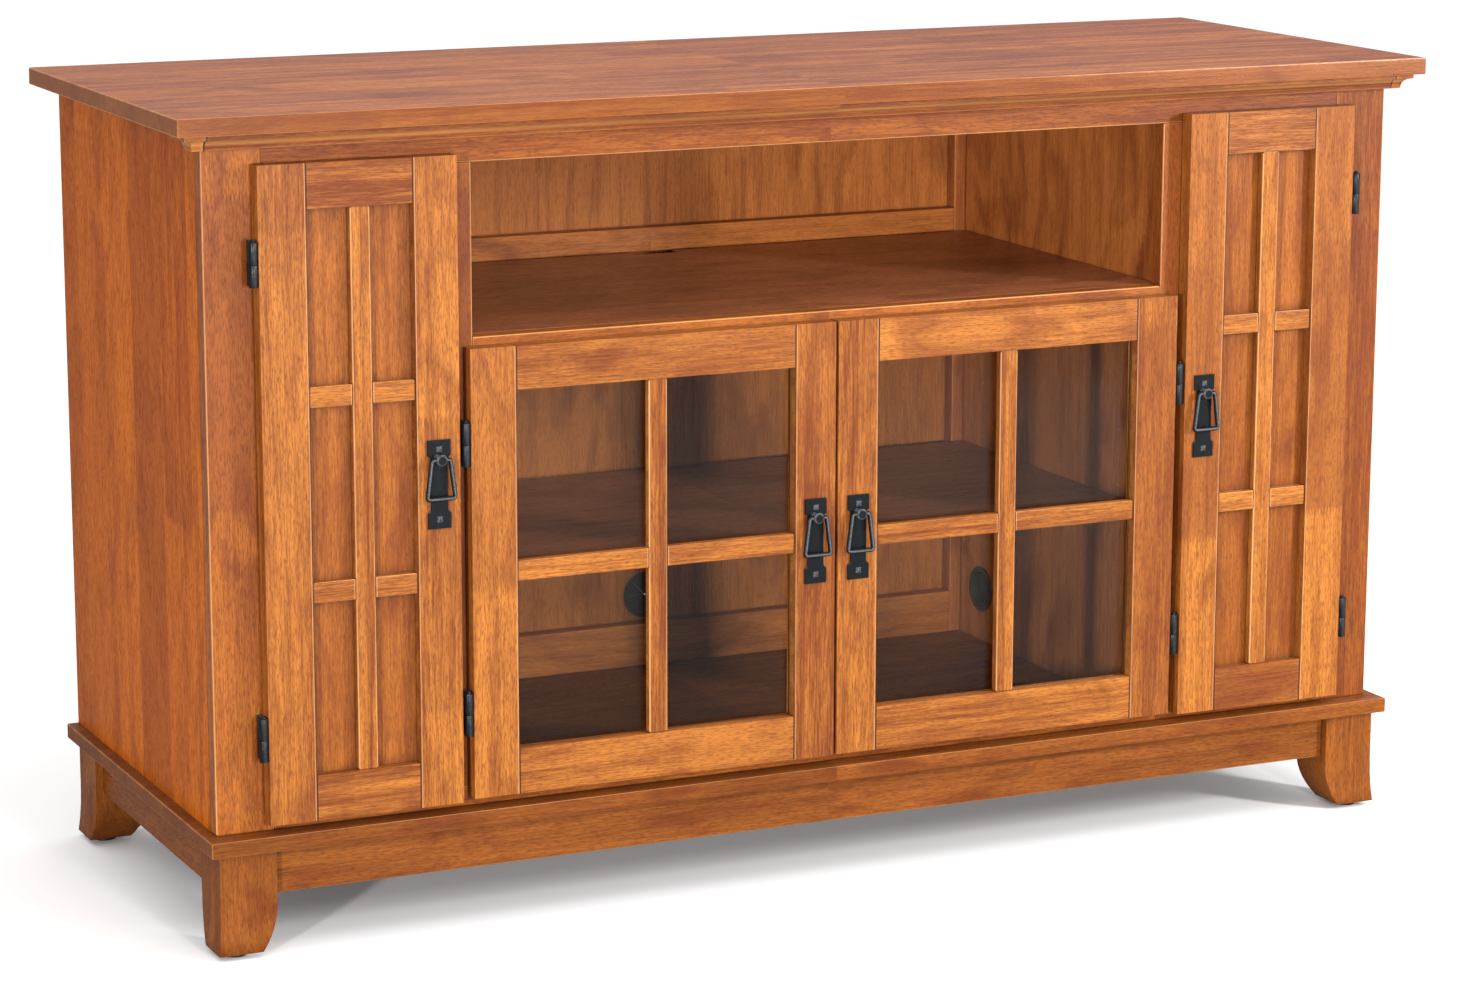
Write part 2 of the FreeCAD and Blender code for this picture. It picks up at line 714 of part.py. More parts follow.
def pull_plate(plan, pull_z):
    """Plate with its round boss, drilled across for the bail, and the two studs that hold it."""
    out = Vector(0, -1, 0)
    plate = plate_outline(plan.pull_x, pull_z).extrude(out * plate_thickness)
    pivot = bail_pivot(plan, pull_z)
    boss_foot = Vector(pivot.x, door_face_y - plate_thickness / 2, pivot.z)
    boss = rod(boss_radius, plate_thickness / 2 + boss_length, boss_foot, out)
    rim = [edge for edge in boss.Edges if abs(edge.BoundBox.YMin - boss.BoundBox.YMin) < 1e-6
           and edge.BoundBox.YLength < 1e-6]
    boss = boss.makeFillet(min(boss_round, boss_radius * 0.8), rim)
    bore = rod(bail_bar_radius + bail_running_fit, 4 * boss_radius,
               pivot - Vector(2 * boss_radius, 0, 0), Vector(1, 0, 0))
    body = plate.fuse(boss).cut(bore)
    studs = []
    for place in stud_places(plan, pull_z):
        hole = rod(stud_shank_radius, plate_thickness, place, out)
        body = body.cut(hole)
        studs.append(stud(place))
    return Part.makeCompound([body.removeSplitter()] + studs)


def rounded_loop(corners, radius):
    """Closed wire through the corners, with each corner rounded by a tangent arc."""
    count = len(corners)
    arcs = []
    for index, corner in enumerate(corners):
        before = (corners[index - 1] - corner).normalize()
        after = (corners[(index + 1) % count] - corner).normalize()
        half_angle = before.getAngle(after) / 2
        run = radius / math.tan(half_angle)
        toward = (before + after).normalize()
        middle = corner + toward * (radius / math.sin(half_angle) - radius)
        arcs.append((corner + before * run, middle, corner + after * run))
    edges = []
    for index, (start, middle, end) in enumerate(arcs):
        edges.append(Part.Arc(start, middle, end).toShape())
        edges.append(Part.LineSegment(end, arcs[(index + 1) % count][0]).toShape())
    return Part.Wire(edges)


def bail(plan, pull_z):
    """Drop bail: a round bar bent into a loop that widens downwards."""
    pivot = bail_pivot(plan, pull_z)
    corners = [
        pivot + Vector(-bail_top_width / 2, 0, 0),
        pivot + Vector(bail_top_width / 2, 0, 0),
        pivot + Vector(bail_bottom_width / 2, 0, -bail_length),
        pivot + Vector(-bail_bottom_width / 2, 0, -bail_length),
    ]
    upper_radius = min(bail_corner_radius, bail_top_width / 2 - boss_radius) * 0.6
    path = rounded_loop(corners, max(upper_radius, bail_bar_radius * 1.05))
    start = path.Edges[0].valueAt(path.Edges[0].FirstParameter)
    tangent = path.Edges[0].tangentAt(path.Edges[0].FirstParameter)
    section = Part.Wire([Part.makeCircle(bail_bar_radius, start, tangent)])
    return path.makePipeShell([section], True, False)


# ---- all the nodes --------------------------------------------------------------------------------------
def cabinet_nodes():
    """Every piece of the fixed cabinet."""
    nodes = {
        "top_board": top_board(),
        "crown_moulding": crown_moulding(),
        "outer_stiles": outer_stiles(),
        "inner_stiles": inner_stiles(),
        "top_rail": frame_rail(opening_top, carcass_top),
        "bottom_rail": frame_rail(floor_z, opening_bottom),
        "bay_shelf": bay_shelf(),
        "bay_shelf_edge": bay_shelf_edge(),
        "back_panel": back_panel(),
        "back_stiles": back_stiles(),
        "back_rails": back_rails(),
        "center_shelf": loose_shelf(-partition_inner, partition_inner, center_shelf_z),
        "shelf_pins": shelf_pins(),
        "base_board": base_board(),
        "front_apron": long_apron("front"),
        "rear_apron": long_apron("rear"),
        "side_aprons": side_aprons(),
        "front_legs": pair(leg("front")),
        "rear_legs": pair(leg("rear")),
        "leveler_nuts": leveler_nuts(),
        "cable_grommets": cable_grommets(),
        "door_catches": door_catches(),
    }
    shelf_x0 = -half_carcass + panel_thickness
    leaves = []
    pins = []
    for side in ("left", "right"):
        nodes["side_panel_" + side] = sided(side_panel(), side)
        nodes["partition_" + side] = sided(partition(), side)
        nodes["side_shelf_" + side] = sided(loose_shelf(shelf_x0, -partition_outer, side_shelf_z), side)
        for plan in (panel_door, glass_door):
            leaves += [sided(leaf, side) for leaf in frame_leaves(plan)]
            pins += [sided(pin, side) for pin in hinge_pins(plan)]
    nodes["hinge_frame_leaves"] = Part.makeCompound(leaves)
    nodes["hinge_pins"] = Part.makeCompound(pins)
    return nodes


def door_nodes(side):
    """Every piece of the two doors on one side, with their pulls."""
    panel_z = pull_heights["panel"]
    glass_z = pull_heights["glass"]
    drawn = {
        "panel_door_{}_frame": grooved_frame(panel_door, panel_z),
        "panel_door_{}_panel": door_panel(panel_door),
        "panel_door_{}_bars": door_bars(panel_door, 2),
        "panel_door_{}_hinge_leaves": door_leaves(panel_door),
        "panel_door_{}_pull_plate": pull_plate(panel_door, panel_z),
        "panel_door_{}_bail": bail(panel_door, panel_z),
        "glass_door_{}_frame": rabbeted_frame(glass_door, glass_z),
        "glass_door_{}_bars": door_bars(glass_door, 1),
        "glass_door_{}_pane": glass_pane(glass_door),
        "glass_door_{}_stops": glass_stops(glass_door),
        "glass_door_{}_hinge_leaves": door_leaves(glass_door),
        "glass_door_{}_pull_plate": pull_plate(glass_door, glass_z),
        "glass_door_{}_bail": bail(glass_door, glass_z),
    }
    return {name.format(side): sided(shape, side) for name, shape in drawn.items()}


def leveler_nodes():
    nodes = {}
    for place in ("front", "rear"):
        for side in ("left", "right"):
            nodes["leveler_" + place + "_" + side] = sided(leveler(place), side)
    return nodes


os.makedirs("parts", exist_ok=True)
all_nodes = cabinet_nodes()
all_nodes.update(door_nodes("left"))
all_nodes.update(door_nodes("right"))
all_nodes.update(leveler_nodes())
for node_name, node_shape in all_nodes.items():
    solids = node_shape.Solids
    whole = solids[0] if len(solids) == 1 else Part.makeCompound(solids)
    whole.exportStep(os.path.join("parts", node_name + ".step"))
    print(node_name, len(solids), "solids", "valid" if whole.isValid() else "NOT VALID",
          round(sum(solid.Volume for solid in solids) / 1000.0, 1), "cm3")
print(len(all_nodes), "nodes")
print("panelled door axis", panel_door.axis_x, hinge_axis_y, "glazed door axis", glass_door.axis_x)
print("bail pivots", bail_pivot(panel_door, pull_heights["panel"]), bail_pivot(glass_door, pull_heights["glass"]))
print("levelers", foot_places)
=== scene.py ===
import math
import bmesh
import bpy
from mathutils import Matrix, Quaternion, Vector


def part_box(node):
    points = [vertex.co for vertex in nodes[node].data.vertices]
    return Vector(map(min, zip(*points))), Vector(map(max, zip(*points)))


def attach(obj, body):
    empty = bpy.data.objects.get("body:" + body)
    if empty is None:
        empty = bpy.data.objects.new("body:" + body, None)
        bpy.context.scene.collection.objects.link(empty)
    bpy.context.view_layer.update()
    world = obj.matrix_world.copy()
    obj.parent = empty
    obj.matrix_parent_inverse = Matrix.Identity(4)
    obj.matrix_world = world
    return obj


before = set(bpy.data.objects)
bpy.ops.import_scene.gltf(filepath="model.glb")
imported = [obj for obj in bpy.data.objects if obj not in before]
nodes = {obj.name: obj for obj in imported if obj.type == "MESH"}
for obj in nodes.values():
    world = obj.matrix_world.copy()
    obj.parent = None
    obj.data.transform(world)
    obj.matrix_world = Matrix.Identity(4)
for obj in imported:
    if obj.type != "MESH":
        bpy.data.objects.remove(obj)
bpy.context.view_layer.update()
print("cabinet loaded:", len(nodes), "pieces")



def toLinear(hexColour):
    # sRGB hex to linear RGBA
    parts = [int(hexColour[i:i + 2], 16) / 255 for i in (1, 3, 5)]
    return [c / 12.92 if c <= 0.04045 else ((c + 0.055) / 1.055) ** 2.4 for c in parts] + [1.0]


def addNode(tree, kind, settings, links=None):
    # adds one shader node: settings go to its inputs or its options, links join earlier outputs to it
    node = tree.nodes.new(kind)
    for key, value in settings.items():
        if isinstance(key, int) or key in node.inputs:
            node.inputs[key].default_value = value
        else:
            setattr(node, key, value)
    for key, source in (links or {}).items():
        tree.links.new(source, node.inputs[key])
    return node


def newMaterial(name):
    material = bpy.data.materials.new(name)
    material.use_nodes = True
    tree = material.node_tree
    tree.nodes.clear()
    return material, tree, tree.nodes.new("ShaderNodeOutputMaterial")


def between(tree, value, limits, ends=(0.0, 1.0)):
    # the first end below the lower limit, the second above the upper one, and even between
    return addNode(tree, "ShaderNodeMapRange",
                   {"From Min": limits[0], "From Max": limits[1], "To Min": ends[0], "To Max": ends[1]},
                   {"Value": value}).outputs[0]


def noiseOf(tree, place, size, detail):
    # an even noise whose features are about size mm across
    return addNode(tree, "ShaderNodeTexNoise", {"Scale": 1000 / size, "Detail": detail},
                   {"Vector": place}).outputs["Fac"]


def facingOf(tree, normalName):
    # how squarely a face looks along x, y and z in its piece's own axes, and the most of the three
    normal = addNode(tree, "ShaderNodeNewGeometry", {}).outputs[normalName]
    normal = addNode(tree, "ShaderNodeVectorTransform",
                     {"vector_type": "NORMAL", "convert_from": "WORLD", "convert_to": "OBJECT"},
                     {0: normal}).outputs[0]
    normal = addNode(tree, "ShaderNodeVectorMath", {"operation": "ABSOLUTE"}, {0: normal}).outputs[0]
    facing = addNode(tree, "ShaderNodeSeparateXYZ", {}, {0: normal}).outputs
    most = facing[0]
    for other in (facing[1], facing[2]):
        most = addNode(tree, "ShaderNodeMath", {"operation": "MAXIMUM"}, {0: most, 1: other}).outputs[0]
    return facing, most


# lacquered, stained rubberwood: satin, with short dark pores along a straight grain
doorWood = {
    "dark": "#70350D", "light": "#B9722C",     # slow streaks across the board
    "pore": "#5A250C", "poreAmount": 0.55,     # short dark dashes
    "patch": "#682B0B", "patchAmount": 0.65,   # blotches where the stain took more
    "rubbed": "#E9B47E", "rubAmount": 0.85,    # edges sanded through the stain, and a painted highlight along them
    "seam": "#2E1206", "seamReach": 2.5,       # painted shade in corners and recesses, also the dark joint lines' colour, and the shade's reach in mm
    "boardShift": 0.2,                         # how far boards differ from each other
    "staveWidth": 0.0, "blockLength": 0.0,     # blocks that a board is glued up from, in mm, or 0 for none
    "roughness": 0.4, "specular": 0.22, "coat": 0.1,
}
stileWood = dict(doorWood, staveWidth=400.0, blockLength=300.0)   # finger-jointed from short blocks
# the panels get a wide painted shade around the edges of their recesses
panelWood = dict(doorWood, dark="#7A3D10", light="#A86220", patchAmount=0.7, poreAmount=0.5,
                 seamReach=12.0, rubAmount=0.0)
caseWood = dict(doorWood, dark="#74370D", light="#A65E1F", pore="#54230B", patch="#652810",
                patchAmount=0.75, rubbed="#DCA268", boardShift=0.4)
caseStileWood = dict(caseWood, staveWidth=400.0, blockLength=310.0)
sideWood = dict(caseWood, dark="#8E3E04", light="#C8680E", patch="#7C3105", pore="#652602",
                patchAmount=0.6, rubAmount=0.5, staveWidth=95.0, blockLength=1400.0,
                specular=0.12, coat=0.0)
topWood = dict(caseWood, dark="#82340E", light="#D07C30", pore="#5E230A", patch="#732C10",
               patchAmount=0.75, poreAmount=0.4, staveWidth=85.0, blockLength=900.0, boardShift=0.2,
               roughness=0.36, specular=0.25, coat=0.15,
               edge="#663506", edgeAmount=0.65)   # the board's upright faces, darker than its top
crownWood = dict(caseWood, rubAmount=0.4)
baseWood = dict(caseWood, dark="#68360F", light="#92521D", patch="#5E260C", rubAmount=0.35,
                specular=0.15, coat=0.05)
legWood = dict(baseWood, rubAmount=0.0)
# the inside's wood is paler than the case's: partly its own tone, partly painted light standing in for light
# that reaches inside
innerWood = dict(caseWood, dark="#8C4A1E", light="#B66D34", poreAmount=0.3, rubAmount=0.3,
                 roughness=0.45, coat=0.1)
shelfWood = dict(innerWood, dark="#7A472E", light="#A66645", patch="#663824", rubAmount=0.6,
                 roughness=0.32, coat=0.2)
backWood = dict(innerWood, dark="#7C4014", light="#B66C30", patch="#6E3612", patchAmount=0.7, rubAmount=0.2)

woodPattern = {   # real sizes in mm, as (across the grain, along it)
    "streak": (14.0, 420.0),
    "fine": (1.8, 45.0),
    "pore": (0.9, 8.0),       # real pores are 0.2 mm wide, drawn wider so that they show
    "longPore": (1.4, 22.0),
    "patch": (55.0, 150.0),
    "fingerPitch": 4.0, "fingerDepth": 9.0, "glueLine": 0.4,
    "jointLine": 0.9,         # half width of the dark line where two boards meet
    "arris": 1.3,             # width of the painted highlight line beside it
}
woodLimits = {   # the noise at which each pattern starts and at which it is full
    "streak": (0.35, 0.65), "fine": (0.36, 0.64), "patch": (0.48, 0.72),
    "pore": (0.5, 0.64), "longPore": (0.6, 0.7), "darkBlock": (0.7, 0.95),
    "seam": (0.3, 0.9),       # openness for the painted corner shade, from 0 in a tight corner to 1 where nothing is near
    "unsheltered": (0.82, 0.97),
    "slanted": (0.9, 0.97),   # facing, which is 1 on a flat side and less on an eased edge
}
woodShares = {   # how strongly each layer covers the one below
    "fine": 0.45, "darkBlock": 0.5, "glue": 0.5, "seam": 0.55, "arris": 0.35, "joint": 0.9,
    "edgeWearAndHighlightLeast": 0.55,         # edge wear and painted highlight on the darkest streaks, against 1 on the lightest
}
woodSurface = {
    "poreDull": 0.16, "poreRelief": 0.25, "poreDepth": 0.0003,   # pores are duller, and sunken in m
    "ior": 1.5, "coatRoughness": 0.25,
    "flatFacing": 0.3,        # below this a face doesn't look along x, so it isn't a board's own edge
    "shelterSamples": 6, "lotSpread": 3.0, "noiseRoughness": 0.55,
}


def woodFinish(name, look, grain, crossZone=None, seed=0.0):
    # grain is the axis that the boards run along. crossZone is for a node that also holds boards that run
    # another way: those further than reach from middle along x, or nearer if it says inside, on either side
    material, tree, output = newMaterial(name)
    place = addNode(tree, "ShaderNodeTexCoord", {}).outputs["Object"]
    xyz = addNode(tree, "ShaderNodeSeparateXYZ", {}, {0: place}).outputs
    order = {"x": "YZX", "y": "XZY", "z": "XYZ"}

    def turned(axis):
        # the place with the grain along the third coordinate
        return addNode(tree, "ShaderNodeCombineXYZ", {},
                       {i: xyz[letter] for i, letter in enumerate(order[axis])}).outputs[0]

    def maths(operation, first, second=0.0):
        # first and second are numbers or outputs
        settings = {"operation": operation}
        links = {}
        for socket, value in enumerate((first, second)):
            if isinstance(value, float):
                settings[socket] = value
            else:
                links[socket] = value
        return addNode(tree, "ShaderNodeMath", settings, links).outputs[0]

    along = turned(grain)
    boardNumber = maths("GREATER_THAN", xyz["X"], 0.0)
    joint = None
    if crossZone:
        offset = maths("SUBTRACT", maths("ABSOLUTE", xyz["X"]), crossZone["middle"])
        edge = maths("SUBTRACT", maths("ABSOLUTE", offset), crossZone["reach"])
        inZone = maths("LESS_THAN" if crossZone.get("inside") else "GREATER_THAN", edge, 0.0)
        along = addNode(tree, "ShaderNodeMix", {"data_type": "VECTOR"},
                        {0: inZone, 4: along, 5: turned(crossZone["grain"])}).outputs[1]
        # number the boards: 2 and 3 for the two cross boards, 4 and 5 for the lower and upper others
        crossNumber = maths("ADD", maths("GREATER_THAN", offset, 0.0), 2.0)
        otherNumber = maths("ADD", maths("GREATER_THAN", xyz["Z"], crossZone.get("level", 0.0)), 4.0)
        number = addNode(tree, "ShaderNodeMix", {}, {0: inZone, 2: otherNumber, 3: crossNumber}).outputs[0]
        boardNumber = maths("ADD", maths("MULTIPLY", boardNumber, 7.0), number)
        joint = maths("LESS_THAN", maths("ABSOLUTE", edge), woodPattern["jointLine"] / 1000)
        fromArris = maths("ABSOLUTE", maths("SUBTRACT", edge, woodPattern["arris"] / 1000))
        arris = maths("LESS_THAN", fromArris, woodPattern["arris"] / 2000)
    lot = addNode(tree, "ShaderNodeTexWhiteNoise", {"noise_dimensions": "1D"},
                  {"W": maths("ADD", boardNumber, seed + 0.5)}).outputs
    moved = addNode(tree, "ShaderNodeVectorMath", {"operation": "SCALE", "Scale": woodSurface["lotSpread"]},
                    {0: lot["Color"]}).outputs[0]
    board = addNode(tree, "ShaderNodeVectorMath", {"operation": "ADD"}, {0: along, 1: moved}).outputs[0]

    def pattern(size, detail, distortion=0.0):
        # stretched noise along the board, as far as it shows
        across, length = (1000.0 / s for s in woodPattern[size])
        spread = addNode(tree, "ShaderNodeVectorMath", {"operation": "MULTIPLY", 1: (across, across, length)},
                         {0: board}).outputs[0]
        noise = addNode(tree, "ShaderNodeTexNoise",
                        {"Scale": 1.0, "Detail": detail, "Roughness": woodSurface["noiseRoughness"],
                         "Distortion": distortion}, {"Vector": spread}).outputs["Fac"]
        return between(tree, noise, woodLimits[size])

    def blend(amount, first, second):
        # first and second are colours, as hex or as outputs
        settings = {"data_type": "RGBA"}
        links = {0: amount}
        for socket, colour in ((6, first), (7, second)):
            if isinstance(colour, str):
                settings[socket] = toLinear(colour)
            else:
                links[socket] = colour
        return addNode(tree, "ShaderNodeMix", settings, links).outputs[2]

    streak = pattern("streak", 3.0, 0.4)
    fine = pattern("fine", 2.0)
    tone = addNode(tree, "ShaderNodeMix", {0: woodShares["fine"]}, {2: streak, 3: fine}).outputs[0]
    # boards differ from each other
    shift = maths("MULTIPLY", maths("SUBTRACT", lot["Value"], 0.5), look["boardShift"] * 2)
    if look["staveWidth"]:
        # glued up from staves and blocks, each with its own tone, whose ends meet in a zigzag
        parts = addNode(tree, "ShaderNodeSeparateXYZ", {}, {0: along}).outputs
        across = maths("ADD", parts["X"], parts["Y"])
        stave = maths("FLOOR", maths("MULTIPLY", across, 1000.0 / look["staveWidth"]))
        tooth = maths("PINGPONG", across, woodPattern["fingerPitch"] / 1000 / 2)
        zigzag = maths("MULTIPLY", tooth, woodPattern["fingerDepth"] / woodPattern["fingerPitch"] * 2)
        stagger = addNode(tree, "ShaderNodeTexWhiteNoise", {"noise_dimensions": "1D"},
                          {"W": maths("ADD", stave, seed * 3.1 + 0.25)}).outputs["Value"]
        stagger = maths("ADD", stagger, maths("MULTIPLY", lot["Value"], woodSurface["lotSpread"]))
        blocks = maths("MULTIPLY", maths("ADD", parts["Z"], zigzag), 1000.0 / look["blockLength"])
        count = maths("ADD", blocks, stagger)
        cell = addNode(tree, "ShaderNodeCombineXYZ", {"Z": 0.0},
                       {0: maths("ADD", stave, seed), 1: maths("FLOOR", count)}).outputs[0]
        block = addNode(tree, "ShaderNodeTexWhiteNoise", {"noise_dimensions": "2D"},
                        {0: cell}).outputs["Value"]
        blockShift = maths("MULTIPLY", maths("SUBTRACT", block, 0.5), look["boardShift"] * 2)
        shift = maths("ADD", shift, blockShift)
    tone = maths("ADD", tone, shift)
    colour = blend(tone, look["dark"], look["light"])
    if look["staveWidth"]:
        rest = maths("FRACT", count)
        glue = maths("LESS_THAN", rest, woodPattern["glueLine"] * 2 / look["blockLength"])
        colour = blend(maths("MULTIPLY", glue, woodShares["glue"]), colour, look["pore"])
        darkBlock = between(tree, block, woodLimits["darkBlock"])
        colour = blend(maths("MULTIPLY", darkBlock, woodShares["darkBlock"]), colour, look["patch"])
    patch = maths("MULTIPLY", pattern("patch", 3.0, 1.2), look["patchAmount"])
    colour = blend(patch, colour, look["patch"])
    pore = maths("MAXIMUM", pattern("pore", 1.0), pattern("longPore", 1.0))
    colour = blend(maths("MULTIPLY", pore, look["poreAmount"]), colour, look["pore"])

    # painted shade in corners and recesses, and edges made light where nothing is near, as wear through the
    # stain and as painted highlight
    facing, most = facingOf(tree, "True Normal")
    shelter = addNode(tree, "ShaderNodeAmbientOcclusion",
                      {"samples": woodSurface["shelterSamples"],
                       "Distance": look["seamReach"] / 1000}).outputs["AO"]
    seam = between(tree, shelter, woodLimits["seam"], (1.0, 0.0))
    colour = blend(maths("MULTIPLY", seam, woodShares["seam"]), colour, look["seam"])
    # edges made light: wear through the stain, and a painted highlight along the eased edges
    slanted = between(tree, most, woodLimits["slanted"], (1.0, 0.0))
    unsheltered = between(tree, shelter, woodLimits["unsheltered"])
    paler = maths("MULTIPLY", streak, 1.0 - woodShares["edgeWearAndHighlightLeast"])
    edgeWearAndHighlightByTone = maths("ADD", woodShares["edgeWearAndHighlightLeast"], paler)
    edgeWearAndHighlight = maths("MULTIPLY", maths("MULTIPLY", slanted, unsheltered), edgeWearAndHighlightByTone)
    colour = blend(maths("MULTIPLY", edgeWearAndHighlight, look["rubAmount"]), colour, look["rubbed"])
    # a painted highlight line beside each joint, then the dark joint line itself
    if joint:
        flat = maths("LESS_THAN", facing[0], woodSurface["flatFacing"])
        arris = maths("MULTIPLY", maths("MULTIPLY", arris, flat), look["rubAmount"] * woodShares["arris"])
        colour = blend(arris, colour, look["rubbed"])
        joint = maths("MULTIPLY", maths("MULTIPLY", joint, flat), woodShares["joint"])
        colour = blend(joint, colour, look["seam"])
    # the board's upright faces are darker than its top
    if look.get("edge"):
        upright = maths("MULTIPLY", maths("SUBTRACT", 1.0, facing[2]), look["edgeAmount"])
        colour = blend(upright, colour, look["edge"])

    # pores are slightly duller and sunken
    dull = between(tree, pore, (0.0, 1.0), (look["roughness"], look["roughness"] + woodSurface["poreDull"]))
    relief = addNode(tree, "ShaderNodeBump",
                     {"Strength": woodSurface["poreRelief"], "Distance": woodSurface["poreDepth"],
                      "invert": True}, {"Height": pore}).outputs[0]
    surface = addNode(tree, "ShaderNodeBsdfPrincipled",
                      {"IOR": woodSurface["ior"], "Specular IOR Level": look["specular"],
                       "Coat Weight": look["coat"], "Coat Roughness": woodSurface["coatRoughness"],
                       "Coat IOR": woodSurface["ior"]},
                      {"Base Color": colour, "Roughness": dull, "Normal": relief})
    tree.links.new(surface.outputs[0], output.inputs[0])
    return material


ironLook = {
    "hollow": "#06080A", "raised": "#10151A",   # blue-black paint
    "greyWearAndHighlight": "#8F959B", "gritBreakup": (0.35, 0.6),     # grey, as bare iron and as painted highlight, and the grit at which it shows through
    "dent": 5.0, "grit": 0.9,                   # in mm
    "arris": (0.86, 0.97), "crest": (0.86, 1.0),   # facing at which an edge and a bar's front show grey, as wear and as painted highlight
    "gritShare": 0.2, "relief": 0.5, "depth": 0.0008,
    "roughness": (0.28, 0.46), "ior": 1.5, "specular": 0.18, "coat": 0.06, "coatRoughness": 0.15,
}


def blackIron(name, arrisWearAndHighlight, crestWearAndHighlight):
    # forged iron under satin black paint: soft dents that break up the highlights, and grey on the arrises,
    # or along the front of a bar that is handled, as worn paint and as painted highlight
    material, tree, output = newMaterial(name)
    place = addNode(tree, "ShaderNodeTexCoord", {}).outputs["Object"]
    dents = noiseOf(tree, place, ironLook["dent"], 1.0)
    grit = noiseOf(tree, place, ironLook["grit"], 2.0)
    facing, most = facingOf(tree, "Normal")
    # grey on the arrises or along a bar's front: worn paint, and a painted highlight
    if crestWearAndHighlight:
        greyWearAndHighlight = between(tree, facing[1], ironLook["crest"], (0.0, crestWearAndHighlight))
    else:
        greyWearAndHighlight = between(tree, most, ironLook["arris"], (arrisWearAndHighlight, 0.0))
    gritBreakup = between(tree, grit, ironLook["gritBreakup"])
    greyWearAndHighlight = addNode(tree, "ShaderNodeMath", {"operation": "MULTIPLY"}, {0: greyWearAndHighlight, 1: gritBreakup}).outputs[0]
    paint = addNode(tree, "ShaderNodeMix", {"data_type": "RGBA", 6: toLinear(ironLook["hollow"]),
                                            7: toLinear(ironLook["raised"])}, {0: dents}).outputs[2]
    colour = addNode(tree, "ShaderNodeMix", {"data_type": "RGBA", 7: toLinear(ironLook["greyWearAndHighlight"])},
                     {0: greyWearAndHighlight, 6: paint}).outputs[2]
    height = addNode(tree, "ShaderNodeMix", {0: ironLook["gritShare"]}, {2: dents, 3: grit}).outputs[0]
    relief = addNode(tree, "ShaderNodeBump", {"Strength": ironLook["relief"], "Distance": ironLook["depth"]},
                     {"Height": height}).outputs[0]
    dull = between(tree, grit, (0.0, 1.0), ironLook["roughness"])
    surface = addNode(tree, "ShaderNodeBsdfPrincipled",
                      {"IOR": ironLook["ior"], "Specular IOR Level": ironLook["specular"],
                       "Coat Weight": ironLook["coat"], "Coat Roughness": ironLook["coatRoughness"]},
                      {"Base Color": colour, "Roughness": dull, "Normal": relief})
    tree.links.new(surface.outputs[0], output.inputs[0])
    return material


glassLook = {"tint": "#FDFEFD", "shine": "#FFFFFF", "roughness": 0.02, "ior": 1.45, "reflection": 0.35}


def floatGlass():
    # 4 mm float glass: nearly clear straight on, and a faint grey reflection
    material, tree, output = newMaterial("floatGlass")
    clear = addNode(tree, "ShaderNodeBsdfTransparent", {"Color": toLinear(glassLook["tint"])})
    shine = addNode(tree, "ShaderNodeBsdfAnisotropic",
                    {"Color": toLinear(glassLook["shine"]), "Roughness": glassLook["roughness"]})
    turn = addNode(tree, "ShaderNodeFresnel", {"IOR": glassLook["ior"]}).outputs[0]
    share = addNode(tree, "ShaderNodeMath", {"operation": "MULTIPLY", 1: glassLook["reflection"]},
                    {0: turn}).outputs[0]
    mixed = addNode(tree, "ShaderNodeMixShader", {}, {0: share, 1: clear.outputs[0], 2: shine.outputs[0]})
    tree.links.new(mixed.outputs[0], output.inputs[0])
    return material


plasticLook = {"dark": "#131312", "light": "#242422", "grain": 0.8, "relief": 0.3, "depth": 0.0002,
               "roughness": 0.45, "ior": 1.5}   # grain in mm, depth in m


def blackPlastic():
    # moulded ABS: matt black with a fine spark-eroded grain
    material, tree, output = newMaterial("mouldedBlackAbs")
    place = addNode(tree, "ShaderNodeTexCoord", {}).outputs["Object"]
    grain = noiseOf(tree, place, plasticLook["grain"], 2.0)
    colour = addNode(tree, "ShaderNodeMix", {"data_type": "RGBA", 6: toLinear(plasticLook["dark"]),
                                             7: toLinear(plasticLook["light"])}, {0: grain}).outputs[2]
    relief = addNode(tree, "ShaderNodeBump",
                     {"Strength": plasticLook["relief"], "Distance": plasticLook["depth"]},
                     {"Height": grain}).outputs[0]
    surface = addNode(tree, "ShaderNodeBsdfPrincipled",
                      {"Roughness": plasticLook["roughness"], "IOR": plasticLook["ior"]},
                      {"Base Color": colour, "Normal": relief})
    tree.links.new(surface.outputs[0], output.inputs[0])
    return material


zincLook = {"colour": "#C9CCCE", "streak": 1.5, "roughness": (0.2, 0.4)}   # streak in mm


def zincSteel():
    # bright zinc on turned steel: pale metal, finely streaked
    material, tree, output = newMaterial("zincPlatedSteel")
    place = addNode(tree, "ShaderNodeTexCoord", {}).outputs["Object"]
    streaks = noiseOf(tree, place, zincLook["streak"], 2.0)
    dull = between(tree, streaks, (0.0, 1.0), zincLook["roughness"])
    surface = addNode(tree, "ShaderNodeBsdfPrincipled",
                      {"Metallic": 1.0, "Base Color": toLinear(zincLook["colour"])}, {"Roughness": dull})
    tree.links.new(surface.outputs[0], output.inputs[0])
    return material


def openingOf(barsNode):
    # a door's opening, from its bars: middle and half width along x, and the level between its rails
    low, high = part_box(barsNode)
    return {"middle": abs(low.x + high.x) / 2, "reach": (high.x - low.x) / 2, "grain": "z",
            "level": (low.z + high.z) / 2}


def uprightBarOf(barsNode, width):
    return dict(openingOf(barsNode), reach=width / 2, inside=True)


barWidth = 0.0205   # an applied bar, in m
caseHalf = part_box("side_panel_right")[1].x
panelFrame = openingOf("panel_door_left_bars")
glassFrame = openingOf("glass_door_left_bars")
panelBar = uprightBarOf("panel_door_left_bars", barWidth)
glassBar = uprightBarOf("glass_door_left_bars", barWidth)
crownReturns = {"middle": 0.0, "reach": caseHalf, "grain": "y"}

